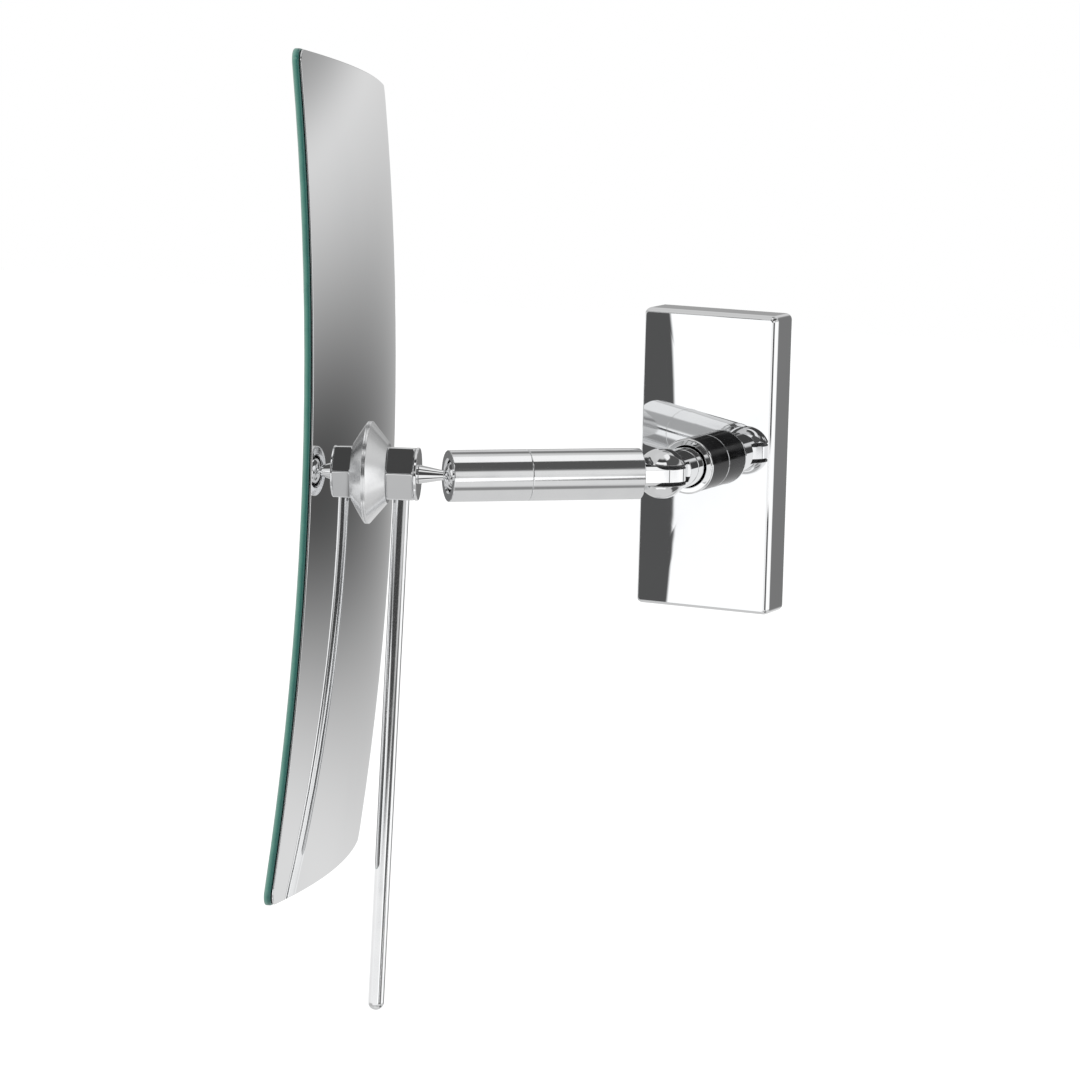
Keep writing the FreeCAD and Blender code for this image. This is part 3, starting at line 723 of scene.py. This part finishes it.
# A screen: azimuth and elevation from and to in degrees (0 is the room side, 90 the right), the blur of each end,
# and its level. With "wall" the azimuth counts from the wall side, to the left; a lean shifts it per degree of
# height. Later screens lie over earlier ones.
screens = [
    # left side
    {"az": (-155, -25), "azBlur": (8, 8), "el": (-70, 62), "elBlur": (8, 8), "level": 0.62},
    {"az": (-140, -25), "azBlur": (12, 8), "el": (-22, 4), "elBlur": (6, 8), "level": 1.0},
    {"az": (-95, -32), "azBlur": (18, 6), "el": (-44, -13), "elBlur": (12, 11), "level": 0.5},
    # room side
    {"az": (-18, 62), "azBlur": (5, 5), "el": (-2, 74), "elBlur": (0.8, 6), "level": 0.06},
    {"az": (-25, 60), "azBlur": (5, 5), "el": (-38, -2), "elBlur": (6, 0.8), "level": 0.95},
    {"az": (-40, 62), "azBlur": (6, 6), "el": (-62, -40), "elBlur": (2, 6), "level": 0.53},
    {"az": (33, 41), "azBlur": (2, 0.8), "el": (-59, -42), "elBlur": (2, 3), "level": 0.08},
    {"az": (-26, 60), "azBlur": (6, 6), "el": (-69, -61), "elBlur": (2, 1), "level": 1.05},
    {"az": (33, 51), "azBlur": (3, 3), "el": (38, 57), "elBlur": (4, 1.5), "level": 0.55},
    {"az": (-18, 53), "azBlur": (3, 3), "el": (46, 57), "elBlur": (2, 1.5), "level": 1.0},
    {"az": (12.5, 20), "azBlur": (1, 2), "el": (11, 19.8), "elBlur": (2, 0.6), "level": 0.75},
    {"az": (22, 31), "azBlur": (2, 2), "el": (20, 28), "elBlur": (2, 2), "level": 0.75},
    {"az": (37, 46), "azBlur": (1.5, 1.5), "el": (6.5, 11), "elBlur": (0.8, 1.5), "level": 0.6},
    # right side
    {"az": (59.5, 155), "azBlur": (1.5, 5), "el": (29, 65), "elBlur": (4, 2), "level": 0.09},
    {"az": (64, 99), "azBlur": (2, 3), "el": (8, 33), "elBlur": (3, 1), "level": 1.0},
    {"az": (99, 117.5), "azBlur": (3, 1.5), "el": (5, 29), "elBlur": (2, 3), "level": 0.48},
    {"az": (95, 112), "azBlur": (4, 2), "el": (-29, -15), "elBlur": (3, 2), "level": 0.34},
    {"az": (46, 61), "azBlur": (1.2, 0.5), "el": (-18.5, -2.3), "elBlur": (1, 0.5), "level": 1.25},
    {"az": (52, 61), "azBlur": (1.2, 1.0), "el": (-36, -18), "elBlur": (4, 1), "level": 0.74},
    {"az": (55.7, 58.7), "azBlur": (0.3, 0.3), "el": (-3, 7), "elBlur": (0.6, 1), "level": 0.8},
    {"az": (54.5, 62.5), "azBlur": (0.8, 1), "el": (6.5, 26), "elBlur": (1, 5), "level": 0.78},
    {"lean": -0.18, "az": (60.3, 100), "azBlur": (0.12, 6), "el": (-18, -2.4), "elBlur": (2, 0.8), "level": 0.1},
    {"az": (62.5, 146), "azBlur": (0.6, 6), "el": (-8.2, -7.4), "elBlur": (0.15, 0.15), "level": 1.1},
    {"az": (58, 72), "azBlur": (3, 3), "el": (-57, -43), "elBlur": (3, 3), "level": 0.26},
    {"az": (97, 150), "azBlur": (5, 5), "el": (-58, -38), "elBlur": (3, 4), "level": 0.1},
    {"az": (76, 170), "azBlur": (3, 8), "el": (65, 84), "elBlur": (2, 6), "level": 0.98},
    {"az": (104, 148), "azBlur": (4, 8), "el": (-14, 4), "elBlur": (2, 2), "level": 1.1},
    {"az": (113.5, 126), "azBlur": (1, 4), "el": (-23, 6), "elBlur": (3, 3), "level": 1.15},
    {"az": (162, 174), "azBlur": (2, 3), "el": (-12, -5.5), "elBlur": (2, 2), "level": 0.14},
    # wall side
    {"wall": True, "az": (-5, 24), "azBlur": (3, 5), "el": (38, 57), "elBlur": (5, 6), "level": 0.2},
    {"wall": True, "az": (-33, -4), "azBlur": (4, 4), "el": (-22, 24), "elBlur": (6, 6), "level": 0.2},
    {"wall": True, "az": (-4, 34), "azBlur": (4, 5), "el": (-30, 4), "elBlur": (6, 3), "level": 0.74},
    {"wall": True, "az": (-4, 24), "azBlur": (4, 22), "el": (-11.5, -4.2), "elBlur": (3.5, 3.5), "level": 0.08},
    {"wall": True, "lean": 0.08, "az": (-4, 30), "azBlur": (4, 6), "el": (-0.6, 14), "elBlur": (1.2, 4),
     "level": 0.36},
]


def makeWorld(s):
    # Level as a function of direction: each screen blends its level in where both windows are open
    world = bpy.data.worlds.new("studio")
    world.use_nodes = True
    scene.world = world
    tree = world.node_tree
    tree.nodes.clear()
    coords = addNode(tree, "ShaderNodeTexCoord")
    axes = addNode(tree, "ShaderNodeSeparateXYZ", {"Vector": coords.outputs["Generated"]}).outputs

    def mathNode(kind, a, b=0.0):
        return addNode(tree, "ShaderNodeMath", {0: a, 1: b}, operation=kind).outputs[0]

    roomward = mathNode("MULTIPLY", axes["Y"], -1.0)
    azimuth = mathNode("DEGREES", mathNode("ARCTAN2", axes["X"], roomward))
    wallAzimuth = mathNode("DEGREES", mathNode("ARCTAN2", mathNode("MULTIPLY", axes["X"], -1.0), axes["Y"]))
    elevation = mathNode("DEGREES", mathNode("ARCSINE", axes["Z"]))

    def step(value, edge, blur, down=False):
        ends = (1.0, 0.0) if down else (0.0, 1.0)
        node = addNode(tree, "ShaderNodeMapRange", {"Value": value, "From Min": edge - blur,
                                                    "From Max": edge + blur, "To Min": ends[0], "To Max": ends[1]},
                       interpolation_type="SMOOTHSTEP")
        return node.outputs["Result"]

    def window(value, span, blur):
        return mathNode("MULTIPLY", step(value, span[0], blur[0]), step(value, span[1], blur[1], True))

    def blended(level, other, mask):
        mix = addNode(tree, "ShaderNodeMix", {"Factor": mask}, data_type="FLOAT")
        for key, value in (("A", level), ("B", other)):
            if isinstance(value, float):
                mix.inputs[key].default_value = value
            else:
                tree.links.new(value, mix.inputs[key])
        return mix.outputs["Result"]

    level = s["base"]
    for screen in screens:
        turn = wallAzimuth if screen.get("wall") else azimuth
        if "lean" in screen:
            turn = mathNode("ADD", turn, mathNode("MULTIPLY", elevation, screen["lean"]))
        mask = mathNode("MULTIPLY", window(turn, screen["az"], screen["azBlur"]),
                     window(elevation, screen["el"], screen["elBlur"]))
        level = blended(level, screen["level"], mask)
    path = addNode(tree, "ShaderNodeLightPath").outputs
    level = blended(s["diffuse"], level, path["Is Glossy Ray"])
    level = blended(level, 1.0, mathNode("MAXIMUM", path["Is Camera Ray"], path["Is Transmission Ray"]))
    background = addNode(tree, "ShaderNodeBackground", {"Color": (1, 1, 1, 1), "Strength": level})
    output = addNode(tree, "ShaderNodeOutputWorld")
    tree.links.new(background.outputs["Background"], output.inputs["Surface"])


def makeFloor(s):
    # Plain pale floor well below the object, which turns white towards the camera, and a soft lamp above it
    mesh = bpy.data.meshes.new("floor")
    h, z = s["floorSize"] / 2, s["floor"]
    mesh.from_pydata([(-h, -h, z), (h, -h, z), (h, h, z), (-h, h, z)], [], [(0, 1, 2, 3)])
    material, tree, shader, coords = newMaterial("paleFloor", Roughness=0.9, Specular_IOR_Level=0.1)
    grain = addNode(tree, "ShaderNodeTexNoise", {"Vector": coords, "Scale": 3.0})
    tone = addNode(tree, "ShaderNodeMix", {"Factor": grain.outputs["Fac"]}, data_type="RGBA")
    for key, grey in zip("AB", s["floorTones"]):
        tone.inputs[key].default_value = (grey, grey, grey, 1)
    tree.links.new(tone.outputs["Result"], shader.inputs["Base Color"])
    path = addNode(tree, "ShaderNodeLightPath").outputs
    glow = addNode(tree, "ShaderNodeMath", {0: path["Is Camera Ray"], 1: s["floorGlow"]}, operation="MULTIPLY")
    shader.inputs["Emission Color"].default_value = (1, 1, 1, 1)
    tree.links.new(glow.outputs[0], shader.inputs["Emission Strength"])
    mesh.materials.append(material)
    floor = bpy.data.objects.new("floor", mesh)
    scene.collection.objects.link(floor)
    floor.visible_glossy = False
    data = bpy.data.lights.new("softBox", "AREA")
    data.energy, data.size = s["lamp"], s["lampSize"]
    lamp = bpy.data.objects.new("softBox", data)
    lamp.location = s["lampAt"]
    aim = -np.array(s["lampAt"])  # at the origin
    lamp.rotation_euler = (math.acos(-aim[2] / np.linalg.norm(aim)), 0, math.atan2(aim[1], aim[0]) - math.pi / 2)
    lamp.visible_glossy = False
    lamp.visible_camera = False
    scene.collection.objects.link(lamp)


makeWorld(studio)
makeFloor(studio)
print("studio made")

# Camera at the photograph's viewing angle; the image is taken as 1080 x 1080

shot = {"azimuth": 25.178, "elevation": 8.634, "tilt": 1.485, "away": 1471.764, "focalPx": 4718.66,
        "targetPx": (525.385, 468.038), "target": (-40.0, -60.0, 0.0), "imagePx": 1080, "sensor": 36.0}


def makeCamera(c):
    # Target point seen at targetPx: the camera steps back along the view and shifts sideways by the pixel offset
    a, e, t = [math.radians(c[k]) for k in ("azimuth", "elevation", "tilt")]
    back = np.array([math.sin(a) * math.cos(e), -math.cos(a) * math.cos(e), math.sin(e)])
    right = np.array([math.cos(a), math.sin(a), 0.0])
    up = np.cross(back, right)
    half = c["imagePx"] / 2
    offX = (c["targetPx"][0] - half) / c["focalPx"] * c["away"]
    offY = -(c["targetPx"][1] - half) / c["focalPx"] * c["away"]
    place = np.array(c["target"]) + c["away"] * back - offX * right - offY * up
    axes = np.eye(4)
    axes[:3, 0] = math.cos(t) * right + math.sin(t) * up
    axes[:3, 1] = -math.sin(t) * right + math.cos(t) * up
    axes[:3, 2] = back
    axes[:3, 3] = place / 1000
    data = bpy.data.cameras.new("camera")
    data.sensor_fit = "HORIZONTAL"
    data.sensor_width = c["sensor"]
    data.lens = c["sensor"] * c["focalPx"] / c["imagePx"]
    data.clip_start, data.clip_end = 0.05, 60.0
    camera = bpy.data.objects.new("camera", data)
    scene.collection.objects.link(camera)
    camera.matrix_world = [list(column) for column in axes.T]
    scene.camera = camera


makeCamera(shot)
scene.view_settings.view_transform = "Standard"
print("camera set")
